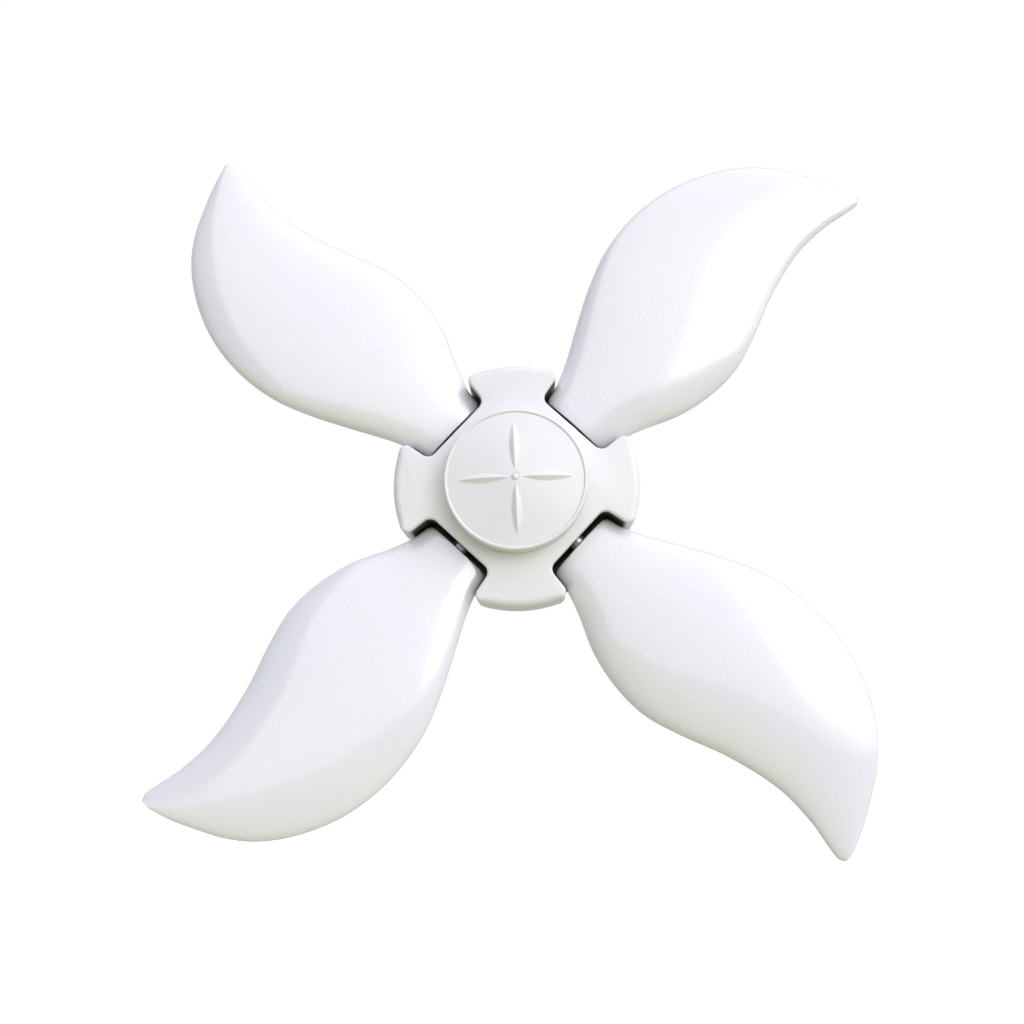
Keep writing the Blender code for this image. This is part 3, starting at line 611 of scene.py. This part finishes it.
def make_cap(material):
    """A shallow cone inside a raised bead, with the ribs worked into it, over a straight skirt."""
    spokes = 360
    inner_wall = CAP_RADIUS - CAP_WALL
    dome_end = CAP_RADIUS - 2 * BEAD_RADIUS
    dome_steps = 60
    bead_middle = (CAP_RADIUS - BEAD_RADIUS, HUB_FRONT + CAP_RIM - BEAD_RADIUS)

    profile = [
        (inner_wall, CAP_FOOT), (CAP_RADIUS - FOOT_ROUND, CAP_FOOT), (CAP_RADIUS, CAP_FOOT + FOOT_ROUND),
    ]
    profile += [
        (bead_middle[0] + BEAD_RADIUS * math.cos(turn), bead_middle[1] + BEAD_RADIUS * math.sin(turn))
        for turn in [math.radians(180) * i / 12 for i in range(12)]
    ]
    dome_start = len(profile)
    for i in range(dome_steps + 1):
        distance = dome_end + (SCREW_SEAT_HOLE - dome_end) * i / dome_steps
        profile.append((distance, cap_dome(distance)))
    dome_stop = len(profile)
    apex = HUB_FRONT + CAP_APEX
    seat = apex - 1 * MM
    profile += [(SCREW_SEAT_HOLE, seat), (SCREW_HOLE, seat), (SCREW_HOLE, apex - CAP_ROOF)]
    profile += [(distance, cap_dome(distance) - CAP_ROOF) for distance in (15 * MM, 30 * MM, 45 * MM)]
    profile += [(inner_wall, cap_dome(inner_wall) - 5 * MM)]

    rings = []
    for i, (distance, height) in enumerate(profile):
        ring = []
        for spoke in range(spokes):
            angle = 2 * math.pi * spoke / spokes
            x, y = distance * math.cos(angle), distance * math.sin(angle)
            rise = rib_height(x, y) if dome_start <= i < dome_stop else 0
            ring.append((x, y, height + rise))
        rings.append(ring)
    bm = bmesh.new()
    skin(bm, rings, closed=True)
    new_piece("domed_cap", bm, material, "rotor", ("hub_cap",), 50)


def make_cap_screw(material):
    """The screw in the cap's centre, painted over with it: a small domed head and its shank."""
    shank_end, head_front = -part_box("cap_screw")[1].y, -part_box("cap_screw")[0].y
    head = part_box("cap_screw")[1].x
    seat = HUB_FRONT + CAP_APEX - 0.7 * MM
    edge = 0.2 * MM
    profile = [
        (edge, shank_end), (SCREW_SHANK, shank_end + 0.5 * MM), (SCREW_SHANK, seat), (head - edge, seat),
    ]
    profile += [
        (head * math.cos(turn), seat + edge + (head_front - seat - edge) * math.sin(turn))
        for turn in [math.radians(88) * i / 10 for i in range(11)]
    ]
    spokes = 64
    rings = []
    for distance, height in profile:
        turns = [2 * math.pi * spoke / spokes for spoke in range(spokes)]
        rings.append([(distance * math.cos(turn), distance * math.sin(turn), height) for turn in turns])
    bm = bmesh.new()
    rows = skin(bm, rings)
    bm.faces.new(rows[0])
    bm.faces.new(reversed(rows[-1]))
    new_piece("painted_cap_screw", bm, material, "rotor", ("cap_screw",), 50)


# ---------------------------------------------------------------- the studio

# The surround's colours. Values over 1 are lit surfaces brighter than white.
SKY_LEFT = colour(1.15, 1.17, 1.3)
SKY_RIGHT = colour(1.34, 1.35, 1.54)
HORIZON = colour(1.1, 1.1, 1.28)
BEHIND = colour(0.62, 0.62, 0.66)
PANEL = colour(3.7, 3.7, 3.8)
LEFT_SCREEN_TOP = colour(0.13, 0.14, 0.3)
LEFT_SCREEN_FOOT = colour(0.38, 0.39, 0.52)
GROUND_GREY = colour(0.42, 0.41, 0.52)
GROUND_GREEN = colour(0.46, 0.48, 0.24)

# The surround's borders: each is a soft step between two values of a direction's x, y or z
SKY_TURN_X = (-0.25, 0.35)
HORIZON_FADE_Z = (-0.1, 0.12)
PANEL_LEFT_X = (0.22, 0.34)
PANEL_RIGHT_X = (0.68, 0.85)
PANEL_FOOT_Z = (-0.1, -0.02)
PANEL_TOP_Z = (0.35, 0.55)
SCREEN_FADE_Z = (-0.15, 0.25)
SCREEN_EDGE_X = (-0.475, -0.445)
GREEN_SLOPE = 0.4
GREEN_EDGE = (-0.23, -0.17)  # in z + GREEN_SLOPE * x
GROUND_EDGE_Z = (-0.14, -0.11)
BEHIND_EDGE_Y = (-0.12, 0.2)

CAMERA_PLACE = (0.0135, -0.9328, -0.1931)
CAMERA_TURN = (100.95, 2.26, 1.62)  # degrees, as is CAMERA_ANGLE
CAMERA_ANGLE = 51.9
KEY_PLACE = (1.5, -1.6, 1.3)
KEY_AIM = (0, -0.05, 0)
KEY_POWER = 2.5
KEY_SIZE = 0.9
FLOOR_DROP = 1.2
FLOOR_REACH = 60


def make_camera():
    camera = bpy.data.objects.new("camera", bpy.data.cameras.new("camera"))
    camera.data.sensor_width = 36
    camera.data.angle = math.radians(CAMERA_ANGLE)
    camera.location = CAMERA_PLACE
    camera.rotation_euler = [math.radians(angle) for angle in CAMERA_TURN]
    bpy.context.scene.collection.objects.link(camera)
    bpy.context.scene.camera = camera


def make_world():
    """Soft light from all round, which the camera sees as plain white.

    In front of the propeller, where the enamel mirrors it, a bright panel stands on the right and a dull
    blue-grey screen on the left, over a darker ground with a green cast. Behind the propeller the light is
    duller, which draws its edges.
    """
    world = bpy.data.worlds.new("surround")
    bpy.context.scene.world = world
    world.use_nodes = True
    nodes = Nodes(world.node_tree)
    direction = nodes.add("ShaderNodeTexCoord").outputs["Generated"]
    x, y, z = nodes.add("ShaderNodeSeparateXYZ", Vector=direction).outputs
    view = nodes.mix(nodes.step(x, *SKY_TURN_X), SKY_LEFT, SKY_RIGHT)
    view = nodes.mix(nodes.step(z, *HORIZON_FADE_Z, 0.6, 0), view, HORIZON)
    across = nodes.math("MULTIPLY", nodes.step(x, *PANEL_LEFT_X), nodes.step(x, *PANEL_RIGHT_X, 1, 0))
    upright = nodes.math("MULTIPLY", nodes.step(z, *PANEL_FOOT_Z), nodes.step(z, *PANEL_TOP_Z, 1, 0))
    view = nodes.mix(nodes.math("MULTIPLY", across, upright), view, PANEL)
    screen = nodes.mix(nodes.step(z, *SCREEN_FADE_Z), LEFT_SCREEN_FOOT, LEFT_SCREEN_TOP)
    view = nodes.mix(nodes.step(x, *SCREEN_EDGE_X, 1, 0), view, screen)
    low = nodes.math("MULTIPLY_ADD", x, GREEN_SLOPE, z)
    ground = nodes.mix(nodes.step(low, *GREEN_EDGE, 1, 0), GROUND_GREY, GROUND_GREEN)
    view = nodes.mix(nodes.step(z, *GROUND_EDGE_Z, 1, 0), view, ground)
    view = nodes.mix(nodes.step(y, *BEHIND_EDGE_Y), view, BEHIND)
    seen_directly = nodes.add("ShaderNodeLightPath").outputs["Is Camera Ray"]
    view = nodes.mix(seen_directly, view, WHITE)
    background = nodes.add("ShaderNodeBackground", Color=view, Strength=1.0)
    output = nodes.add("ShaderNodeOutputWorld")
    nodes.tree.links.new(background.outputs["Background"], output.inputs["Surface"])


def make_key_light():
    key = bpy.data.objects.new("key", bpy.data.lights.new("key", "AREA"))
    key.data.energy = KEY_POWER
    key.data.size = KEY_SIZE
    key.location = KEY_PLACE
    aim = Vector(KEY_AIM) - key.location
    key.rotation_euler = aim.to_track_quat("-Z", "Y").to_euler()
    bpy.context.scene.collection.objects.link(key)


def make_floor(material):
    bm = bmesh.new()
    reach = FLOOR_REACH
    corners = [(-reach, -reach), (reach, -reach), (reach, reach), (-reach, reach)]
    bm.faces.new([bm.verts.new((x, y, -FLOOR_DROP)) for x, y in corners])
    floor = as_object("floor", bm)
    floor.data.materials.append(material)
    floor.visible_diffuse = floor.visible_glossy = False  # the surround below lights the propeller instead


# ---------------------------------------------------------------- build


def notch_primer_and_shade_mask(nodes, axes, ragged):
    """1 inside the notches more than a few millimetres below the front, and on the web's front behind them: bare
    primer there, and painted shade of the narrow gaps round the blade roots.

    The rear plate's back is painted.
    """
    x, y, z = axes.outputs
    front_depth = nodes.math("ADD", y, HUB_FRONT)
    uneven = nodes.math("MULTIPLY", ragged, 2 * MM)
    deep = nodes.step(nodes.math("ADD", front_depth, uneven), 3 * MM, 6.5 * MM)
    flat = nodes.math("MULTIPLY_ADD", z, z, nodes.math("MULTIPLY", x, x))
    inside = nodes.step(nodes.math("SQRT", flat), HUB_RADIUS - 9 * MM, HUB_RADIUS - 4 * MM, 1, 0)
    # the back stays white; the web's front, seen only through the gaps, stays dark as painted shade
    before_back = nodes.step(y, -HUB_REAR - 0.9 * MM, -HUB_REAR - 0.6 * MM, 1, 0)
    return nodes.math("MULTIPLY", nodes.math("MULTIPLY", deep, inside), before_back)


SLOT_MATERIALS = {
    "steel": metal("zinc_plated_steel", colour(0.42, 0.42, 0.41), colour(0.55, 0.55, 0.54), 0.34),
    "aluminium": metal("machined_aluminium", colour(0.6, 0.61, 0.62), colour(0.7, 0.71, 0.72), 0.32),
    "bearing_steel": metal("ground_bearing_steel", colour(0.6, 0.6, 0.62), colour(0.72, 0.72, 0.74), 0.18),
    "brass": metal("machined_brass", colour(0.62, 0.45, 0.2), colour(0.76, 0.58, 0.3), 0.28),
    "rubber": seal_rubber(),
}


def dress_cad_nodes():
    slots = {entry["node"]: entry["material_slot"] for entry in frame["record"]["subparts"]}
    for name, node in NODES.items():
        if slots[name] in SLOT_MATERIALS:
            node.data.materials.clear()
            node.data.materials.append(SLOT_MATERIALS[slots[name]])


make_camera()
make_blades(blade_enamel())
PLATE_PAINT = hub_paint("hub_plate_paint", notch_primer_and_shade_mask)
make_hub_plate("front_hub_casting", "hub_front_plate", HUB_SPLIT + GAP / 2, HUB_FRONT, PLATE_PAINT)
make_hub_plate("rear_hub_casting", "hub_rear_plate", HUB_SPLIT - GAP / 2, HUB_REAR, PLATE_PAINT)
CAP_PAINT = hub_paint("cap_paint")
make_cap(CAP_PAINT)
make_cap_screw(CAP_PAINT)
dress_cad_nodes()
make_world()
make_key_light()
make_floor(studio_floor())
bpy.context.scene.view_settings.view_transform = "Standard"
